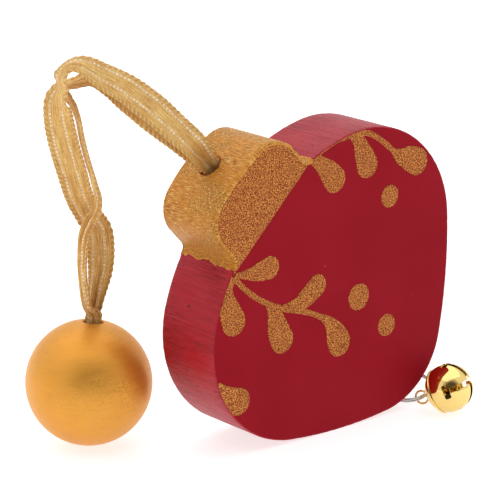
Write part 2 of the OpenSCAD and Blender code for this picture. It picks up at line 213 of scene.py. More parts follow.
# ---------------------------------------------------------------- ribbon, the first piece after the camera
RIBBON_W, RIBBON_HALF_T = 6.0, 0.09
BALL_R, BALL_HOLE_R, BALL_LEAN = 12.5, 2.0, rad(6)
CROWN_HOLE_R, CROWN_HOLE_DEPTH = 2.5, 9
SEAT_DEPTH = 2
ball_axis = np.array([math.sin(BALL_LEAN), 0, math.cos(BALL_LEAN)])
ball_c = np.array([-29.6, 12.4, BALL_R])
crown_axis = np.array([-SIN, 0, COS])
crown_mouth = own(0.5, CROWN_H, -1.3)
crown_seat = crown_mouth - SEAT_DEPTH * crown_axis
ball_mouth = ball_c + BALL_R * ball_axis
ball_seat = ball_mouth - SEAT_DEPTH * ball_axis
outer_route = [
    [-17.1, -5.1, 61.7, 0.92, 22], [-20.8, -4.2, 65.5, 0.95, 20], [-24.9, -2.8, 69.6, 0.98, 17],
    [-29.6, -1.5, 73.5, 0.98, 24], [-34, -0.3, 76.3, 0.95, 33], [-37.7, 0.8, 78.6, 0.9, 47],
    [-40.5, 1.9, 78.8, 0.85, 64], [-41.6, 2.9, 76.8, 0.85, 62], [-40.9, 3.8, 74.3, 0.85, 62],
    [-40.6, 5.5, 71.3, 0.9, 27], [-39.3, 6.8, 66.9, 0.95, 15], [-37.4, 7.9, 61.8, 0.95, 13],
    [-35.1, 8.9, 56.4, 0.95, 15], [-32.7, 10.1, 51.2, 0.9, 13], [-29.9, 11.1, 46.8, 0.83, 10],
    [-27.2, 11.6, 43.2, 0.83, 0], [-26.3, 12.2, 39.7, 0.85, 0], [-26.1, 12.7, 35.5, 0.82, 8],
    [-26.7, 13, 31.1, 0.72, 25], [-27.4, 12.9, 27.8, 0.6, 33],
]
inner_route = [
    [-16.4, -3.5, 60.8, 0.88, 14], [-19.5, -2.6, 63.8, 0.95, 16], [-23.3, -1.5, 67.1, 0.97, 14],
    [-27.4, 0, 70.8, 0.95, 21], [-31, 1.4, 73.9, 0.9, 34], [-34.4, 2.9, 75.5, 0.85, 52],
    [-36.8, 4.4, 74.9, 0.8, 62], [-37.9, 6, 73.9, 0.8, 72], [-37.5, 6.2, 71.9, 0.8, 74],
    [-36.5, 5.7, 69.7, 0.8, 78], [-36, 5.1, 67.2, 0.85, 79], [-35.2, 5, 63.1, 0.85, 79],
    [-34.1, 4.9, 58.9, 0.85, 79], [-33, 4.8, 55.1, 0.8, 78], [-32.2, 4.8, 51.6, 0.7, 70],
    [-32.2, 5.7, 48.9, 0.6, 51], [-32.5, 7.3, 46.7, 0.55, 33], [-32.4, 9, 44.1, 0.55, 41],
    [-31.9, 10.4, 41.1, 0.6, 52], [-31.3, 11.6, 37.5, 0.7, 61], [-30.7, 12.3, 34.1, 0.7, 63],
    [-30.2, 12.4, 30.7, 0.6, 59], [-29.6, 12.2, 27.8, 0.5, 54],
]
FACE_DIR = np.array([-0.61, -0.74, 0.27])
CROWN_MOUTH_W, BALL_MOUTH_W = 2 * CROWN_HOLE_R * 0.8, 2 * BALL_HOLE_R * 0.62


def strand_points(route, s):
    """Rows of position, width and turn from seat to seat, s to one side in the holes."""
    off = np.array([0, s, 0])
    rows = [[*(crown_seat + off), CROWN_MOUTH_W, 0], [*(crown_mouth + crown_axis + off), CROWN_MOUTH_W, 0]]
    rows += [[x, y, z, w * RIBBON_W, t] for x, y, z, w, t in route]
    rows += [[*(ball_mouth + ball_axis - off), BALL_MOUTH_W, 0], [*(ball_seat - off), BALL_MOUTH_W, 0]]
    return rows


def make_ribbon(name, route, s, seed, node):
    """One strand: a flat band with looped edges that folds where it is narrow."""
    q = smooth_points(strand_points(route, s), 12)
    n, cols = len(q), 33
    pos = q[:, :3]
    length = np.r_[0, np.cumsum(np.linalg.norm(np.diff(pos, axis=0), axis=1))]
    verts, uvs = [], []
    for i in range(n):
        if i == 0:
            t = crown_axis
        elif i == n - 1:
            t = -ball_axis
        else:
            t = unit(pos[i + 1] - pos[i - 1])
        w = unit(np.cross(FACE_DIR, t))
        nn = np.cross(t, w)
        turn = rad(q[i, 4])
        a = math.cos(turn) * w + math.sin(turn) * nn
        b = np.cross(t, a)
        width = q[i, 3]
        spare = max(0.0, 1 - width / RIBBON_W)
        end = min(length[i], length[-1] - length[i])
        fold = min(0.55, 1.1 * spare) * min(1, max(0.25, end / 6))
        cup = 0.28 * math.sin(length[i] * 0.11 + seed)
        valley = -1.5 * max(0, 1 - abs(length[i] - 4) / 9)
        for side in (1, -1):
            for j in range(cols) if side == 1 else range(cols - 1, -1, -1):
                u = 2 * j / (cols - 1) - 1
                picot = 0.0
                if abs(u) > 0.98:
                    picot = 0.1 + 0.1 * math.sin(length[i] * 2 * math.pi / 1.25 + seed * 3 + u)
                x = u * width / 2 + math.copysign(picot, u) * min(1, end / 3)
                h = cup * (u * u - 0.4) * min(1, end / 5)
                h += fold * math.sin(u * 2.6 * math.pi + seed + length[i] * 0.05)
                h += valley * (0.45 - abs(u))
                h += 0.05 * math.sin(u * 14 + seed)
                h += 0.05 * noise.noise(Vector((length[i] * 0.35, u * 3, seed)))
                h += side * RIBBON_HALF_T
                verts.append(pos[i] + x * a + h * b)
                uvs.append((length[i] / 10, j / (cols - 1)))
    faces = grid_faces(n, 2 * cols, close=True)
    faces.append(tuple(range(2 * cols)))
    faces.append(tuple((n - 1) * 2 * cols + k for k in reversed(range(2 * cols))))
    ob = mesh_object(name, verts, faces, None, [], uv=uvs)
    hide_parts(node)
    return ob


ribbon_a = make_ribbon("ribbon_outer", outer_route, -0.5, 0.6, "ribbon_outer_strand")
ribbon_b = make_ribbon("ribbon_inner", inner_route, 0.5, 2.3, "ribbon_inner_strand")


# ---------------------------------------------------------------- materials
class Mat:
    """A node material with short calls for the nodes used here."""

    def __init__(self, name):
        self.m = bpy.data.materials.new(name)
        self.m.use_nodes = True
        self.t = self.m.node_tree
        self.p = self.t.nodes["Principled BSDF"]

    def node(self, kind, **values):
        n = self.t.nodes.new(kind)
        for k, v in values.items():
            if k in n.inputs:
                n.inputs[k].default_value = v
            else:
                setattr(n, k, v)
        return n

    def link(self, a, b):
        self.t.links.new(a, b)

    def set(self, **values):
        for k, v in values.items():
            self.p.inputs[k.replace("_", " ")].default_value = v

    def space(self, scale=(1, 1, 1), uv=False, turn=(0, 0, 0)):
        if uv:
            src = self.node("ShaderNodeUVMap", uv_map="surface").outputs["UV"]
        else:
            src = self.node("ShaderNodeTexCoord").outputs["Object"]
        m = self.node("ShaderNodeMapping")
        m.inputs["Scale"].default_value = scale
        m.inputs["Rotation"].default_value = turn
        self.link(src, m.inputs["Vector"])
        return m.outputs["Vector"]

    def noise(self, vec, scale, detail=4, rough=0.6, distort=0.0):
        n = self.node("ShaderNodeTexNoise")
        n.inputs["Scale"].default_value = scale
        n.inputs["Detail"].default_value = detail
        n.inputs["Roughness"].default_value = rough
        n.inputs["Distortion"].default_value = distort
        self.link(vec, n.inputs["Vector"])
        return n.outputs["Fac"]

    def cells(self, vec, scale):
        n = self.node("ShaderNodeTexVoronoi")
        n.inputs["Scale"].default_value = scale
        self.link(vec, n.inputs["Vector"])
        return n.outputs["Distance"]

    def ramp(self, fac, stops, ease="LINEAR"):
        r = self.node("ShaderNodeValToRGB")
        r.color_ramp.interpolation = ease
        e = r.color_ramp.elements
        while len(e) < len(stops):
            e.new(0.5)
        for k, (pos, col) in zip(e, stops):
            k.position = pos
            k.color = col if len(col) == 4 else (*col, 1)
        self.link(fac, r.inputs["Fac"])
        return r.outputs["Color"]

    def mix(self, fac, a, b, blend="MIX"):
        n = self.node("ShaderNodeMix", data_type="RGBA", blend_type=blend)
        for sock, v in ((n.inputs[0], fac), (n.inputs[6], a), (n.inputs[7], b)):
            if isinstance(v, (float, int, tuple)):
                sock.default_value = v
            else:
                self.link(v, sock)
        return n.outputs[2]

    def math(self, op, a, b=0.0):
        n = self.node("ShaderNodeMath", operation=op)
        for sock, v in ((n.inputs[0], a), (n.inputs[1], b)):
            if isinstance(v, (float, int)):
                sock.default_value = v
            else:
                self.link(v, sock)
        return n.outputs[0]

    def bump(self, height, strength, distance, under=None):
        b = self.node("ShaderNodeBump")
        b.inputs["Strength"].default_value = strength
        b.inputs["Distance"].default_value = distance
        self.link(height, b.inputs["Height"])
        if under is not None:
            self.link(under, b.inputs["Normal"])
        return b.outputs["Normal"]

    def base(self, col):
        self.link(col, self.p.inputs["Base Color"])

    def rough(self, v):
        self.link(v, self.p.inputs["Roughness"])

    def normal(self, v):
        self.link(v, self.p.inputs["Normal"])


TURN = 6.2832


def grey(v):
    return (v, v, v, 1)


def red_side():
    """Satin red over the sawn edge: fine ridges across the thickness, pits darkened with painted shade, and
    a soft sheen.
    """
    m = Mat("red_sawn_edge")
    uv = m.space(uv=True)
    lines = m.noise(m.space((1, 0.05, 1), uv=True), 190, 5, 0.65, 0.3)
    fine = m.noise(m.space((1, 0.12, 1), uv=True), 520, 3, 0.6)
    patch = m.noise(uv, 9, 3, 0.5)
    pits = m.noise(m.space((1, 0.45, 1), uv=True), 85, 2, 0.5)
    strong = m.ramp(patch, [(0.38, grey(0.12)), (0.62, grey(1))])
    tone = m.ramp(lines, [(0.32, srgb(146, 6, 26)), (0.48, srgb(172, 10, 34)), (0.64, srgb(186, 26, 52))])
    tone = m.mix(m.ramp(patch, [(0.3, grey(0.5)), (0.7, grey(0.1))]), tone, srgb(170, 12, 34))
    # Painted shade: the pits' hollows, the same mask the bump sinks below, are darkened to a deep red.
    tone = m.mix(m.ramp(pits, [(0.28, grey(0.75)), (0.33, grey(0))]), tone, srgb(88, 4, 16))
    m.base(tone)
    m.set(Specular_IOR_Level=0.25, Coat_Weight=0.1, Coat_Roughness=0.3)
    m.rough(m.ramp(fine, [(0.3, grey(0.36)), (0.7, grey(0.52))]))
    h = m.mix(strong, grey(0.5), lines)
    nb = m.bump(h, 1.0, 0.0008)
    nb = m.bump(fine, 0.3, 0.00012, nb)
    m.normal(m.bump(m.ramp(pits, [(0.27, grey(0)), (0.33, grey(1))]), 0.5, 0.0003, nb))
    return m.m


def red_face():
    """Flat deep red on the printed face, with faint rolling marks and a few pale specks."""
    m = Mat("red_flat_face")
    o = m.space()
    wide = m.noise(o, 70, 3, 0.5)
    grain = m.noise(m.space((1, 1, 3), turn=(0, rad(-43), 0)), 900, 4, 0.65)
    tone = m.ramp(wide, [(0.3, srgb(150, 14, 30)), (0.7, srgb(157, 20, 36))])
    tone = m.mix(m.ramp(grain, [(0.3, grey(0.35)), (0.5, grey(0))]), tone, srgb(132, 10, 24))
    specks = m.cells(o, 150)
    tone = m.mix(m.ramp(specks, [(0.024, grey(0.7)), (0.036, grey(0))]), tone, srgb(214, 130, 134))
    m.base(tone)
    m.rough(m.ramp(grain, [(0.3, grey(0.5)), (0.7, grey(0.62))]))
    m.set(Specular_IOR_Level=0.06)
    m.normal(m.bump(grain, 0.14, 0.0001))
    return m.m


def gold_paint(name, on_edge=True):
    """Brushed gold paint on the crown's edge: strokes along the board's thickness and a crinkled skin; its
    tone is partly the paint's own and partly painted light, darker in the skin's hollows and pale cream on
    its ridges.
    """
    m = Mat(name)

    def at(along, across):
        return m.space((along, across, 1), uv=True) if on_edge else m.space((10 * along, 10, 10 * across))

    strokes = m.noise(at(1, 0.13), 420, 3, 0.6, 0.1)
    crinkle = m.noise(at(1, 0.7), 400, 3, 0.6, 0.8)
    grit = m.noise(at(1, 1), 620, 3, 0.65)
    wide = m.noise(at(1, 0.5), 14, 3, 0.55)
    where = m.ramp(wide, [(0.4, grey(0)), (0.56, grey(1))])
    skin = m.mix(where, strokes, crinkle)
    # Painted highlight and shade: the tone follows the same skin that drives the bump, so the hollows are
    # darker and the ridges run up to a pale cream highlight.
    tone = m.ramp(skin, [(0.38, srgb(158, 84, 8)), (0.46, srgb(216, 138, 28)), (0.55, srgb(230, 160, 48)),
                         (0.64, srgb(255, 228, 138))])
    tone = m.mix(m.ramp(grit, [(0.36, grey(0.45)), (0.45, grey(0))]), tone, srgb(160, 92, 20))
    tone = m.mix(m.ramp(wide, [(0.35, grey(0.3)), (0.6, grey(0))]), tone, srgb(208, 130, 28))
    m.base(tone)
    m.set(Metallic=0.45, Specular_IOR_Level=0.6)
    m.rough(m.ramp(grit, [(0.3, grey(0.3)), (0.7, grey(0.44))]))
    nb = m.bump(skin, 1.0, 0.0007)
    m.normal(m.bump(grit, 0.4, 0.00012, nb))
    return m.m


def gold_print(name, dark, mid, light):
    """Granular glitter ink."""
    m = Mat(name)
    o = m.space()
    grains = m.noise(o, 3900, 2, 0.5)
    fine = m.noise(o, 6200, 2, 0.6)
    big = m.noise(o, 500, 4, 0.6)
    tone = m.ramp(grains, [(0.42, dark), (0.5, mid), (0.58, light)])
    tone = m.mix(m.ramp(fine, [(0.56, grey(0)), (0.64, grey(0.6))]), tone, light)
    tone = m.mix(m.ramp(big, [(0.3, grey(0.2)), (0.6, grey(0))]), tone, dark)
    m.base(tone)
    m.link(m.ramp(fine, [(0.5, grey(0.05)), (0.66, grey(0.5))]), m.p.inputs["Metallic"])
    m.rough(m.ramp(fine, [(0.4, grey(0.62)), (0.66, grey(0.4))]))
    m.set(Specular_IOR_Level=0.12)
    m.normal(m.bump(grains, 0.5, 0.0001))
    return m.m


def gold_ball():
    """Satin gold over turned wood: very fine rings round the hole's axis and small brush wrinkles."""
    m = Mat("gold_turned_wood")
    turn = (0, rad(-6), 0)
    rings = m.noise(m.space((0.12, 0.12, 1), turn=turn), 2400, 3, 0.6)
    wide = m.noise(m.space((0.8, 0.8, 1), turn=turn), 90, 2, 0.5)
    wrinkle = m.noise(m.space((1, 1, 0.6), turn=(0.2, rad(-6), 0.4)), 2600, 2, 0.5, 0.6)
    patch = m.noise(m.space(), 85, 2, 0.5)
    tone = m.ramp(wide, [(0.3, srgb(226, 154, 54)), (0.7, srgb(232, 164, 64))])
    tone = m.mix(m.ramp(rings, [(0.36, grey(0.15)), (0.5, grey(0))]), tone, srgb(190, 120, 38))
    m.base(tone)
    m.set(Metallic=0.6, Specular_IOR_Level=0.5)
    m.rough(m.ramp(rings, [(0.3, grey(0.38)), (0.7, grey(0.46))]))
    nb = m.bump(rings, 0.3, 0.0001)
    rough = m.math("MULTIPLY", m.ramp(wrinkle, [(0.5, grey(0)), (0.6, grey(1))]),
                   m.ramp(patch, [(0.42, grey(0.1)), (0.56, grey(1))]))
    m.normal(m.bump(rough, 0.5, 0.00014, nb))
    return m.m


def ribbon_cloth():
    """Woven metallic ribbon: fibres, weft ribs, thicker looped edges and two rows of glinting stitches."""
    m = Mat("gold_woven_ribbon")
    uv = m.node("ShaderNodeUVMap", uv_map="surface")
    sep = m.node("ShaderNodeSeparateXYZ")
    m.link(uv.outputs["UV"], sep.inputs[0])
    s, u = sep.outputs[0], sep.outputs[1]
    fibre = m.noise(m.space((2.5, 62, 1), uv=True), 1, 4, 0.65, 0.2)
    wander = m.noise(m.space((1.3, 1, 1), uv=True), 1.5, 2, 0.5)
    across = m.noise(m.space((26, 3, 1), uv=True), 1, 3, 0.6)
    weft = m.math("SINE", m.math("MULTIPLY", s, TURN * 12))
    fine = m.math("SINE", m.math("MULTIPLY", s, TURN * 30))
    edge = m.math("ABSOLUTE", m.math("SUBTRACT", u, 0.5))
    slant = m.math("ADD", m.math("MULTIPLY", s, TURN * 9.0), m.math("MULTIPLY", edge, 26.0))
    rib = m.math("SINE", slant)
    at_edge = m.ramp(edge, [(0.37, grey(0)), (0.42, grey(1))])
    tone = m.ramp(fibre, [(0.36, srgb(182, 122, 44)), (0.48, srgb(226, 172, 86)),
                          (0.6, srgb(255, 224, 150))])
    tone = m.mix(m.ramp(across, [(0.38, grey(0.3)), (0.5, grey(0))]), tone, srgb(186, 128, 52))
    tone = m.mix(m.ramp(wander, [(0.35, grey(0.3)), (0.55, grey(0))]), tone, srgb(206, 144, 62))
    ribbed = m.ramp(rib, [(0.1, srgb(196, 140, 62)), (0.7, srgb(240, 200, 130))])
    tone = m.mix(m.math("MULTIPLY", at_edge, 0.6), tone, ribbed)
    rows = None
    shift = m.math("MULTIPLY", m.math("SUBTRACT", wander, 0.5), 0.12)
    for at in (0.2, 0.66):
        d = m.math("ABSOLUTE", m.math("SUBTRACT", m.math("ADD", u, shift), at))
        line = m.ramp(d, [(0.026, grey(1)), (0.046, grey(0))])
        rows = line if rows is None else m.mix(1.0, rows, line, "ADD")
    stitch = m.ramp(weft, [(0.3, grey(0.25)), (0.6, grey(1))])
    glint = m.noise(m.space((4, 3, 1), uv=True), 1.5, 3, 0.6)
    bright = m.ramp(glint, [(0.4, grey(0.3)), (0.56, grey(1))])
    spark = m.math("MULTIPLY", m.math("MULTIPLY", rows, stitch), bright)
    m.base(m.mix(spark, tone, srgb(252, 244, 226)))
    m.link(m.math("ADD", m.math("MULTIPLY", spark, 0.3), 0.15), m.p.inputs["Metallic"])
    m.rough(m.ramp(glint, [(0.4, grey(0.5)), (0.7, grey(0.38))]))
    m.set(Sheen_Weight=0.15, Sheen_Roughness=0.4, Sheen_Tint=srgb(255, 226, 170))
    nb = m.bump(fine, 0.2, 0.00005)
    nb = m.bump(fibre, 0.7, 0.00018, nb)
    nb = m.bump(m.math("MULTIPLY", rib, at_edge), 0.5, 0.0001, nb)
    m.normal(m.bump(rows, 0.35, 0.0001, nb))
    return m.m


def polished(name, col, low, high):
    """Polished or drawn metal with faint smears and dents, its roughness from low to high."""
    m = Mat(name)
    o = m.space()
    smear = m.noise(o, 500, 4, 0.6)
    dent = m.noise(o, 350, 2, 0.5)
    m.base(m.mix(m.ramp(smear, [(0.35, grey(0.3)), (0.65, grey(0))]), col,
                 tuple(c * 0.78 for c in col[:3]) + (1,)))
    m.set(Metallic=1.0)
    m.rough(m.ramp(smear, [(0.3, grey(low)), (0.7, grey(high))]))
    m.normal(m.bump(dent, 0.12, 0.00012))
    return m.m


def hole_wood_painted_shade():
    m = Mat("drilled_wood_painted_shade")
    grain = m.noise(m.space((1, 1, 0.2)), 900, 4, 0.6)
    # Painted shade: the bare wood inside the bored holes is given a dark brown that stands in for the shade
    # deep in the holes.
    m.base(m.ramp(grain, [(0.3, srgb(52, 22, 14)), (0.7, srgb(96, 50, 30))]))
    m.set(Roughness=0.8, Specular_IOR_Level=0.2)
    m.normal(m.bump(grain, 0.3, 0.0002))
    return m.m


def glue_mat():
    m = Mat("set_glue")
    o = m.space()
    cloud = m.noise(o, 400, 4, 0.6)
    m.base(m.ramp(cloud, [(0.3, srgb(70, 40, 16)), (0.7, srgb(120, 78, 36))]))
    m.rough(m.ramp(cloud, [(0.3, grey(0.25)), (0.7, grey(0.5))]))
    m.normal(m.bump(cloud, 0.4, 0.0003))
    return m.m


RED_SIDE, RED_FACE = red_side(), red_face()
GOLD_EDGE, GOLD_BACK = gold_paint("gold_brushed_paint"), gold_paint("gold_brushed_back", False)
PRINT = gold_print("gold_glitter_print", srgb(112, 34, 10), srgb(160, 78, 30), srgb(226, 152, 76))
BALL_GOLD, CLOTH, GLUE, HOLE_WOOD_PAINTED_SHADE = gold_ball(), ribbon_cloth(), glue_mat(), hole_wood_painted_shade()
BELL_GOLD = polished("polished_gold_plate", srgb(246, 214, 134), 0.05, 0.13)
WIRE_GOLD = polished("gold_wire", srgb(226, 170, 96), 0.14, 0.3)
WIRE_STEEL = polished("steel_wire", srgb(206, 204, 200), 0.12, 0.3)
PELLET = polished("dull_steel", srgb(96, 78, 60), 0.4, 0.6)
for r in (ribbon_a, ribbon_b):
    r.data.materials.append(CLOTH)


# ---------------------------------------------------------------- block
def cut_hole(ob, point, axis, radius, depth, chamfer):
    """Bores a round hole with a softened rim into a mesh, points in mm."""
    prof = [(radius + chamfer, 1.5), (radius + chamfer, 0.0), (radius, -chamfer), (radius, -depth)]
    k = 40
    z = Vector(axis).normalized()
    x = z.orthogonal().normalized()
    y = z.cross(x)
    verts = [tuple((Vector(point) + z * h + (x * math.cos(a) + y * math.sin(a)) * r) * MM)
             for r, h in prof for a in [2 * math.pi * i / k for i in range(k)]]
    faces = grid_faces(4, k, close=True) + [tuple(range(k)), tuple(3 * k + i for i in reversed(range(k)))]
    me = bpy.data.meshes.new("cutter")
    me.from_pydata(verts, [], faces)
    bm = bmesh.new()
    bm.from_mesh(me)
    bmesh.ops.recalc_face_normals(bm, faces=bm.faces)
    bm.to_mesh(me)
    bm.free()
    me.materials.append(HOLE_WOOD_PAINTED_SHADE)
    tool = bpy.data.objects.new("cutter", me)
    bpy.context.collection.objects.link(tool)
    apply_boolean(ob, tool)


def apply_boolean(ob, tool):
    """Takes the tool away from a mesh, then removes the tool."""
    mod = ob.modifiers.new("cut", "BOOLEAN")
    mod.operation = "DIFFERENCE"
    mod.solver = "EXACT"
    mod.object = tool
    deps = bpy.context.evaluated_depsgraph_get()
    me = bpy.data.meshes.new_from_object(ob.evaluated_get(deps))
    ob.modifiers.clear()
    ob.data = me
    bpy.data.objects.remove(tool)


def make_block():
    n = len(EDGE)
    half = BOARD_T / 2
    prof = [(-0.55, half), (-0.25, half - 0.02), (-0.08, half - 0.09), (-0.02, half - 0.24),
            (0, half - 0.45)]
    inner = [(0, d) for d in np.linspace(half - 1.6, 1.6 - half, 14)]
    rows = prof + inner + [(g, -d) for g, d in reversed(prof)]
    verts, uvs = [], []
    for g, d in rows:
        for i in range(n):
            s = i * EDGE_LEN / n
            wob = 0.0
            if abs(d) < half - 0.3:
                wob = 0.05 * noise.noise(Vector((s * 0.5, d * 0.06, 4)))
            nick = 0.05 * noise.noise(Vector((s * 0.9, d, 9)))
            p = EDGE[i] + (g + wob + (nick if 0 < abs(g) < 0.5 else 0)) * EDGE_N[i]
            verts.append(own(p[0], p[1], d))
            uvs.append((s / 100, d / 100))
    faces = grid_faces(len(rows), n, close=True)
    mats = []
    for f in faces:
        row = f[0] // n
        mats.append(1 if row == 0 else 0)
    faces.append(tuple(reversed(range(n))))
    mats.append(1)
    faces.append(tuple((len(rows) - 1) * n + i for i in range(n)))
    mats.append(1)
    ob = mesh_object("painted_block", verts, faces, "block", [RED_SIDE, RED_FACE], mats,
                     uvs, flat=(len(faces) - 1, len(faces) - 2))
    cut_hole(ob, crown_mouth, crown_axis, CROWN_HOLE_R, CROWN_HOLE_DEPTH, 0.25)
    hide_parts("wood_block")


make_block()


# ---------------------------------------------------------------- gold coat on the crown
GILD_V = -2.0


def edge_length_at(v, right=True):
    """Length along the outline where it passes height v beside the crown."""
    for i in range(len(EDGE) // 2):
        k = i if right else len(EDGE) - 1 - i
        if EDGE[k][1] < v:
            return k * EDGE_LEN / len(EDGE)
    return 0


def make_gilding():
    half = BOARD_T / 2
    s_right = edge_length_at(GILD_V) - 0.4
    s_left = edge_length_at(GILD_V, False) - EDGE_LEN + 0.4
    lift = 0.13
    depth = [(-0.6, half + 0.02), (-0.5, half + 0.13), (-0.2, half + 0.14), (0.02, half + 0.06),
             (lift - 0.02, half - 0.1), (lift - 0.12, half - 0.36)]
    depth += [(lift, d) for d in np.linspace(half - 0.8, 0.8 - half, 44)]
    depth += [(g, -d) for g, d in reversed(depth[:6])]
    cols = 260
    verts, uvs = [], []
    for g, d in depth:
        jag_l = 0.75 * noise.noise(Vector((d * 0.35, 1.7, 0)))
        jag_l += 0.35 * noise.noise(Vector((d * 1.3, 5.1, 0)))
        jag_r = 0.75 * noise.noise(Vector((d * 0.35, 8.7, 0)))
        jag_r += 0.35 * noise.noise(Vector((d * 1.3, 2.1, 0)))
        if d > half - 0.6:
            jag_l, jag_r = 0.1 * jag_l, 0.1 * jag_r
        a, b = s_left + jag_l - 0.3, s_right + jag_r + 0.3
        for j in range(cols):
            t = j / (cols - 1)
            s = a + (b - a) * t
            e = min(t, 1 - t) * (b - a)
            gg = g
            ridge = 0.07 * max(0, 1 - abs(e - 0.5) / 0.5)
            if e < 0.35:
                gg = -0.03 + (g + 0.03) * (e / 0.35) ** 0.5
            if g >= lift - 0.05:
                body = 0.05 * noise.noise(Vector((s * 0.8, d * 0.12, 3)))
                body += 0.03 * noise.noise(Vector((s * 2.5, d * 0.5, 6)))
                gg += ridge + body
            p = edge_at(s, gg)
            verts.append(own(p[0], p[1], d))
            uvs.append((s / 100, d / 100))
    faces = grid_faces(len(depth), cols)
    ob = mesh_object("gilded_crown_edge", verts, faces, "block", [GOLD_EDGE], uv=uvs)
    cut_coat_hole(ob)
    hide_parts("crown_gilding")


def cut_coat_hole(ob):
    """Opens the coat over the ribbon hole and rolls its rim down into it."""
    bm = bmesh.new()
    bm.from_mesh(ob.data)
    c = Vector(crown_mouth) * MM
    ax = Vector(crown_axis)
    gone = []
    for f in bm.faces:
        r = f.calc_center_median() - c
        if (r - ax * r.dot(ax)).length < 2.35 * MM:
            gone.append(f)
    bmesh.ops.delete(bm, geom=gone, context="FACES")
    for e in bm.edges:
        if len(e.link_faces) == 1:
            for v in e.verts:
                r = v.co - c
                flat = r - ax * r.dot(ax)
                if flat.length < 3.4 * MM:
                    v.co = c + flat.normalized() * 2.42 * MM - ax * 0.22 * MM
    bm.to_mesh(ob.data)
    bm.free()


make_gilding()


def flat_piece(name, loops, d, body, mat, node=None, thick=0.1, side=1):
    """Thin flat pieces in the block's plane: each loop of (w, v) points becomes a plate with a soft edge."""
    verts, faces, flat = [], [], []
    for loop in loops:
        loop = np.asarray(loop, float)
        nxt, prv = np.roll(loop, -1, 0), np.roll(loop, 1, 0)
        t = nxt - prv
        t /= np.maximum(np.linalg.norm(t, axis=1), 1e-9)[:, None]
        area = np.sum(loop[:, 0] * nxt[:, 1] - nxt[:, 0] * loop[:, 1])
        nrm = np.c_[t[:, 1], -t[:, 0]] * (1 if area > 0 else -1)
        n = len(loop)
        k = len(verts)
        top = thick + 0.007 * len(flat)
        for out, h in ((0.04, -0.02), (0.0, top * 0.75), (-0.08, top)):
            verts += [own(*(loop[i] + out * nrm[i]), d + side * h) for i in range(n)]
        rings = grid_faces(3, n, close=True, start=k)
        cap = tuple(k + 2 * n + i for i in range(n))
        if (area > 0) == (side > 0):
            faces += rings + [cap]
        else:
            faces += [tuple(reversed(f)) for f in rings] + [tuple(reversed(cap))]
        flat.append(len(faces) - 1)
    ob = mesh_object(name, verts, faces, body, [mat], flat=flat)
    bm = bmesh.new()
    bm.from_mesh(ob.data)
    bmesh.ops.triangulate(bm, faces=[f for f in bm.faces if len(f.verts) > 4])
    bm.to_mesh(ob.data)
    bm.free()
    if node:
        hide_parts(node)


def crown_face(wave, left_v, right_v):
    """The crown's outline down to a chord between two heights, wave long in its unevenness."""
    a, b = edge_length_at(left_v, False) - EDGE_LEN, edge_length_at(right_v)
    pts = [edge_at(s, -0.45) for s in np.linspace(a, b, 150)]
    a, b = pts[-1], pts[0]
    out = list(pts)
    for t in np.linspace(0, 1, 60)[1:-1]:
        p = a + (b - a) * t
        out.append(p + np.array([0, wave * (noise.noise(Vector((t * 9, wave * 10, 0)))
                                            + 0.5 * noise.noise(Vector((t * 40, 2, 0))))]))
    return out


FACE_D = BOARD_T / 2
flat_piece("gold_crown_face", [crown_face(0.1, -2.3, -1.5)], FACE_D, "block", PRINT,
           thick=0.12)
flat_piece("gold_crown_back", [crown_face(0.7, -2.2, -2.2)], -FACE_D, "block", GOLD_BACK,
           thick=0.12, side=-1)


# ---------------------------------------------------------------- print
def leaf(p):
    """A leaf along rows of (w, v, half width), with a round end."""
    q = smooth_points(p, 10)
    a, b = [], []
    for i in range(len(q) - 1):
        t = q[i + 1, :2] - q[max(i - 1, 0), :2]
        t /= np.linalg.norm(t)
        n = np.array([-t[1], t[0]])
        a.append(q[i, :2] + n * q[i, 2])
        b.append(q[i, :2] - n * q[i, 2])
    d = unit(q[-1, :2] - q[-2, :2])
    n = np.array([-d[1], d[0]])
    cap = [q[-1, :2] + q[-1, 2] * (math.cos(k) * d + math.sin(k) * n) for k in np.linspace(1.57, -1.57, 40)]
    return grainy(a + cap + b[::-1])


def grainy(p, step=0.22, amount=0.05):
    """Roughens an outline as thick ink does."""
    p = np.array(p)
    q = np.vstack([p, p[:1]])
    s = np.r_[0, np.cumsum(np.linalg.norm(np.diff(q, axis=0), axis=1))]
    n = max(12, int(s[-1] / step))
    t = np.linspace(0, s[-1], n, endpoint=False)
    out = np.c_[np.interp(t, s, q[:, 0]), np.interp(t, s, q[:, 1])]
    rnd = np.random.default_rng(int(abs(out[0, 0] * 100 + out[0, 1] * 10)) + n)
    return out + rnd.uniform(-amount, amount, out.shape)


def stem(p, w):
    """A stem w wide along rows of (w, v)."""
    q = smooth_points(p, 10)
    a, b = [], []
    for i in range(len(q)):
        t = q[min(i + 1, len(q) - 1)] - q[max(i - 1, 0)]
        t /= np.linalg.norm(t)
        a.append(q[i] + w / 2 * np.array([-t[1], t[0]]))
        b.append(q[i] - w / 2 * np.array([-t[1], t[0]]))
    return grainy(a + b[::-1])


def clipped(loop, margin=0.5):
    """Keeps a loop inside the block's outline, margin from its edge."""
    out = []
    for p in loop:
        d = np.linalg.norm(EDGE - p, axis=1)
        i = int(np.argmin(d))
        gap_out = float(np.dot(p - EDGE[i], EDGE_N[i]))
        if gap_out > -margin:
            p = p - EDGE_N[i] * (gap_out + margin)
        out.append(p)
    return np.array(out)


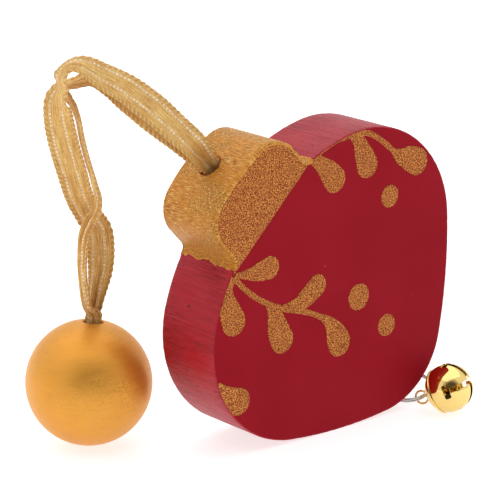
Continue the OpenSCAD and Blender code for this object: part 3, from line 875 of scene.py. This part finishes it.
stem_left = [[-14.5, -3.2], [-14.4, -7.8], [-13.5, -12.5], [-11.5, -17.8], [-9.3, -21.7], [-7.6, -25],
             [-6.8, -27.6]]
stem_right = [[14.9, -2.3], [18, -3.4], [20.5, -4.7], [22.7, -6.3], [24.9, -8.3], [26.4, -10.2],
              [27.3, -13.2], [27.75, -15.8], [28, -18.6]]
leaves_left = [
    [[-14.4, -3.2, 0.75], [-16.5, -3.8, 0.8], [-18.2, -5.1, 1.6], [-19.7, -7.3, 2.5], [-20.6, -9.6, 2.8]],
    [[-13.8, -3.2, 0.4], [-13.2, -4.2, 0.6], [-11.7, -5.9, 1.2], [-9.8, -7.6, 1.9], [-7.8, -9.1, 2.3]],
    [[-13.4, -14.2, 0.5], [-13.3, -15.4, 0.95], [-13.8, -17.3, 1.85], [-15.1, -20, 2.55],
     [-15.9, -22.3, 2.75]],
    [[-11.2, -17.5, 0.4], [-10.4, -18.7, 0.8], [-8.4, -20.4, 1.5], [-6.2, -21.2, 2.05], [-3, -21.7, 2.25]],
    [[-6.8, -27, 0.5], [-6.3, -29.7, 1.15], [-6.55, -31.9, 2.1], [-7.2, -34, 2.7], [-7.6, -35.2, 2.8]],
    [[-31.3, -15.3, 0.2], [-31.4, -17.5, 1], [-31.4, -19.7, 1.95], [-31, -22.2, 2.8]],
]
leaves_right = [
    [[13.9, -1.8, 1.3], [14.2, -4.2, 1.5], [14.5, -7.1, 2.3], [14.4, -9.6, 2.7]],
    [[23.4, -6.6, 0.9], [23.5, -9.2, 1.5], [22.6, -11.8, 2.2], [21.7, -14.3, 2.65]],
    [[27.9, -17.6, 0.5], [28.4, -20.1, 1.6], [29.5, -22.1, 2.45], [30.5, -24.5, 2.8]],
]
STEM_W = 1.1
left = [stem(stem_left, STEM_W)] + [leaf(p) for p in leaves_left]
right = [stem(stem_right, STEM_W)] + [leaf(p) for p in leaves_right]
flat_piece("print_large_sprig", [clipped(p, 0.25) for p in left], FACE_D, "block", PRINT,
           "print_left_sprig")
flat_piece("print_small_sprig", [clipped(p, 0.25) for p in right], FACE_D, "block", PRINT,
           "print_right_sprig")


def dot(w, v, r):
    turns = np.linspace(0, 2 * math.pi, 60, endpoint=False)
    return grainy([(w + r * math.cos(a), v + r * math.sin(a)) for a in turns])


flat_piece("print_dots", [dot(21.1, -23.9, 2.27), dot(1.95, -32.5, 2.7), dot(2.4, -43.1, 2.27)], FACE_D,
           "block", PRINT, "print_berries")


# ---------------------------------------------------------------- ball
def frame_matrix(x, z, o):
    x, z = Vector(x).normalized(), Vector(z).normalized()
    y = z.cross(x)
    m = Matrix((x, y, z)).transposed().to_4x4()
    m.translation = Vector(o) * MM
    return m


def revolve(profile, n, m):
    """Verts and faces of a lathe shape from (radius, height) pairs in mm, placed by matrix m."""
    verts = []
    for r, z in profile:
        for i in range(n):
            a = 2 * math.pi * i / n
            verts.append(np.array(m @ Vector((r * math.cos(a) * MM, r * math.sin(a) * MM, z * MM))) / MM)
    return verts, grid_faces(len(profile), n, close=True)


BALL_SIDES = 160


def make_ball():
    r, hole = BALL_R, BALL_HOLE_R
    a0 = math.asin((hole + 0.25) / r)
    prof = [(0.01, -r)] + [(r * math.sin(a), -r * math.cos(a)) for a in np.linspace(0.02, math.pi - a0, 120)]
    z = r * math.cos(a0)
    prof += [(hole + 0.06, z - 0.08), (hole, z - 0.3)]
    prof += [(hole, z - k) for k in (1, 2, 4, 6, 8, 9.8)] + [(0.01, z - 9.8)]
    m = frame_matrix((math.cos(BALL_LEAN), 0, -math.sin(BALL_LEAN)), ball_axis, ball_c)
    v, f = revolve(prof, BALL_SIDES, m)
    inside = [1 if k // BALL_SIDES > len(prof) - 8 else 0 for k in range(len(f))]
    ob = mesh_object("gilded_ball", v, f, "ball", [BALL_GOLD, HOLE_WOOD_PAINTED_SHADE], inside)
    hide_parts("wood_ball")


make_ball()


# ---------------------------------------------------------------- bell, ring and eye
BELL_R, BELL_WALL, SLOT_W, SEAM = 5.0, 0.35, 1.0, -0.42 * 5.0
RING_R, RING_WIRE, EYE_R, EYE_WIRE, LOOP_R, LOOP_WIRE = 4.4, 0.5, 1.5, 0.9, 1.35, 0.45
BELL_RISE = rad(26.4)
EYE_GAP = 0.15
eye_c = own(0, -BODY_H - EYE_GAP - EYE_R - EYE_WIRE / 2, 0)
bell_axis = unit(np.array([0.408 * math.cos(BELL_RISE), -0.913 * math.cos(BELL_RISE), math.sin(BELL_RISE)]))
loop_l = BELL_R + 0.25 + LOOP_R
hook_l = loop_l + 0.4
hook_z = BELL_R - hook_l * bell_axis[2]
drop = min(0.9, (eye_c[2] - hook_z) / (2 * RING_R))
level = math.sqrt(1 - drop ** 2)
hook = eye_c + 2 * RING_R * unit(np.array([-0.21 * level, -0.978 * level, -drop]))
bell_c = hook + hook_l * bell_axis
bell_x = unit(np.cross([0, 0, 1], bell_axis))
BELL_M = frame_matrix(bell_x, bell_axis, bell_c)


def cutter(shape):
    """An object from verts in mm and faces, to cut with."""
    me = bpy.data.meshes.new("cutter")
    bm = bmesh.new()
    verts, faces = shape
    vs = [bm.verts.new(Vector(v) * MM) for v in verts]
    for f in faces:
        bm.faces.new([vs[i] for i in f])
    bmesh.ops.recalc_face_normals(bm, faces=bm.faces)
    bm.to_mesh(me)
    bm.free()
    ob = bpy.data.objects.new("cutter", me)
    bpy.context.collection.objects.link(ob)
    return ob


def prism(points, m, z0, z1):
    """Closed prism of an outline in the bell's cross plane."""
    n = len(points)
    verts = [np.array(m @ Vector((x * MM, y * MM, z * MM))) / MM for z in (z0, z1) for x, y in points]
    faces = [(i, (i + 1) % n, n + (i + 1) % n, n + i) for i in range(n)]
    faces += [tuple(reversed(range(n))), tuple(n + i for i in range(n))]
    return verts, faces


BELL_SIDES = 144


def outward(ob):
    """Turns all faces of a mesh outward."""
    bm = bmesh.new()
    bm.from_mesh(ob.data)
    bmesh.ops.recalc_face_normals(bm, faces=bm.faces)
    bm.to_mesh(ob.data)
    bm.free()


def make_bell():
    a_seam = math.acos(SEAM / BELL_R)
    ri = BELL_R - BELL_WALL
    angles = np.linspace(a_seam, 0.004, 90)
    prof = [(ri * math.sin(a_seam) * 0.99, SEAM + 0.02), (BELL_R * math.sin(a_seam), SEAM + 0.02)]
    prof += [(BELL_R * math.sin(a), BELL_R * math.cos(a)) for a in angles[1:]]
    prof += [(ri * math.sin(a), ri * math.cos(a)) for a in angles[::-1]]
    n = BELL_SIDES
    v, f = revolve(prof, n, BELL_M)
    last = (len(prof) - 1) * n
    f += [(i, (i + 1) % n, last + (i + 1) % n, last + i) for i in range(n)]
    ob = mesh_object("bell_slotted_half", v, f, "bell", [BELL_GOLD])
    outward(ob)
    h = SLOT_W / 2
    cross = [(8, h), (h, h), (h, 8), (-h, 8), (-h, h), (-8, h),
             (-8, -h), (-h, -h), (-h, -8), (h, -8), (h, -h), (8, -h)]
    apply_boolean(ob, cutter(prism(cross, BELL_M, 0.3 * BELL_R, 8)))
    for k in range(4):
        turn = BELL_M @ Matrix.Rotation(rad(90 * k), 4, "Z") @ Matrix.Rotation(rad(73), 4, "Y")
        window = []
        for x, y, start in ((0.35, 1.15, 0), (-0.35, 1.15, 90), (-0.35, -1.15, 180), (0.35, -1.15, 270)):
            for step in range(7):
                a = rad(start + step * 15)
                window.append((SLOT_W * (x + 0.3 * math.cos(a)), SLOT_W * (y + 0.3 * math.sin(a))))
        apply_boolean(ob, cutter(prism(window, turn, 2, 8)))
    ob.data.polygons.foreach_set("use_smooth", [True] * len(ob.data.polygons))
    ob.data.set_sharp_from_angle(angle=rad(40))
    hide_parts("bell_slotted_shell")
    back_angles = np.linspace(math.pi - 0.004, a_seam + 0.1, 40)
    cap = [(BELL_R * math.sin(a), BELL_R * math.cos(a)) for a in back_angles]
    rim_r = BELL_R * math.sin(a_seam)
    cap += [(rim_r - 0.02, SEAM - 0.42), (rim_r + 0.1, SEAM - 0.36), (rim_r + 0.16, SEAM - 0.2),
            (rim_r + 0.1, SEAM - 0.04), (rim_r - 0.02, SEAM - 0.01), (rim_r - 0.3, SEAM - 0.01)]
    cap += [(ri * math.sin(a), ri * math.cos(a)) for a in np.linspace(a_seam + 0.02, math.pi - 0.004, 30)]
    v, f = revolve(cap, n, BELL_M)
    ob = mesh_object("bell_back_half", v, f, "bell", [BELL_GOLD])
    outward(ob)
    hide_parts("bell_cap")


make_bell()


def tube(name, points, radius, body, mat, node, sides=16):
    """A round wire with two ends along points in mm."""
    p = np.asarray(points, float)
    n = len(p)
    verts = []
    ref = None
    for i in range(n):
        t = unit(p[min(i + 1, n - 1)] - p[max(i - 1, 0)])
        if ref is None:
            ref = unit(np.cross(t, [0.3, 0.2, 0.9]))
        ref = unit(ref - np.dot(ref, t) * t)
        y = np.cross(t, ref)
        for j in range(sides):
            c = 2 * math.pi * j / sides
            verts.append(p[i] + radius * (math.cos(c) * ref + math.sin(c) * y))
    faces = grid_faces(n, sides, close=True)
    faces += [tuple(reversed(range(sides))), tuple((n - 1) * sides + j for j in range(sides))]
    ob = mesh_object(name, verts, faces, body, [mat])
    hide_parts(node)


ring_c = (eye_c + hook) / 2
ring_x = unit(hook - eye_c)
side = np.array([0.95, -0.1, 0.3])
ring_y = unit(side - np.dot(side, ring_x) * ring_x)
ring_z = np.cross(ring_x, ring_y)
coil = []
for k in range(181):
    a = rad(-170 + 4 * k)
    step = 0.24 * math.tanh((k - 90) / 9)
    coil.append(ring_c + RING_R * (math.cos(a) * ring_x + math.sin(a) * ring_y) + step * ring_z)
tube("wire_split_ring", coil, RING_WIRE / 2, "ring", WIRE_STEEL, "split_ring")

loop_c = bell_c - loop_l * bell_axis
loop_y = np.cross(bell_axis, bell_x)
loop = []
for k in range(61):
    a = rad(22 + 316 * k / 60)
    loop.append(loop_c + LOOP_R * (math.cos(a) * bell_axis + math.sin(a) * loop_y))
foot_a = loop[0] + 0.45 * bell_axis - 0.12 * loop_y
foot_b = loop[-1] + 0.45 * bell_axis + 0.12 * loop_y
loop = [foot_a] + loop + [foot_b]
tube("bell_wire_loop", loop, LOOP_WIRE / 2, "bell", WIRE_GOLD, "bell_loop")

for name, mat in (("screw_eye", WIRE_GOLD), ("bell_pellet", PELLET), ("crown_glue_plug", GLUE),
                  ("ball_glue_plug", GLUE)):
    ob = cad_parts[name]
    ob.data.materials.clear()
    ob.data.materials.append(mat)

for r in (ribbon_a, ribbon_b):
    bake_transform(r)


# ---------------------------------------------------------------- floor, light
def plane(name, size, mat):
    """A level square in the middle of the scene."""
    me = bpy.data.meshes.new(name)
    s = size / 2
    me.from_pydata([(-s, -s, 0), (s, -s, 0), (s, s, 0), (-s, s, 0)], [], [(0, 1, 2, 3)])
    me.materials.append(mat)
    ob = bpy.data.objects.new(name, me)
    bpy.context.collection.objects.link(ob)


floor_mat = Mat("pale_floor")
floor_mat.p.inputs["Base Color"].default_value = (0.5, 0.5, 0.5, 1)
floor_mat.p.inputs["Roughness"].default_value = 0.5
floor_mat.p.inputs["Emission Color"].default_value = (1, 1, 1, 1)
floor_mat.p.inputs["Emission Strength"].default_value = 0.72
plane("floor", 6, floor_mat.m)

# A white studio, dimmer on the side that the photographer stands on.
world = bpy.data.worlds.new("studio")
world.use_nodes = True
wt = world.node_tree
sky = wt.nodes["Background"]
coord = wt.nodes.new("ShaderNodeTexCoord")
facing = wt.nodes.new("ShaderNodeVectorMath")
facing.operation = "DOT_PRODUCT"
facing.inputs[1].default_value = tuple(Vector((-0.5, -0.82, 0.28)).normalized())
shade = wt.nodes.new("ShaderNodeValToRGB")
shade.color_ramp.elements[0].position = 0.66
shade.color_ramp.elements[0].color = (1, 1, 1, 1)
shade.color_ramp.elements[1].position = 0.9
shade.color_ramp.elements[1].color = (0.1, 0.09, 0.08, 1)
wt.links.new(coord.outputs["Generated"], facing.inputs[0])
wt.links.new(facing.outputs["Value"], shade.inputs["Fac"])
wt.links.new(shade.outputs["Color"], sky.inputs["Color"])
sky.inputs["Strength"].default_value = 0.95
bpy.context.scene.world = world
bpy.context.scene.view_settings.view_transform = "Standard"


def soft_light(name, at, aim_at, size, power):
    d = bpy.data.lights.new(name, "AREA")
    d.shape = "SQUARE"
    d.size = size
    d.energy = power
    ob = bpy.data.objects.new(name, d)
    bpy.context.collection.objects.link(ob)
    ob.location = at
    ob.rotation_euler = (Vector(aim_at) - Vector(at)).to_track_quat("-Z", "Y").to_euler()


soft_light("top", (0.0, 0.15, 0.9), (0, 0, 0.03), 1.6, 4.5)
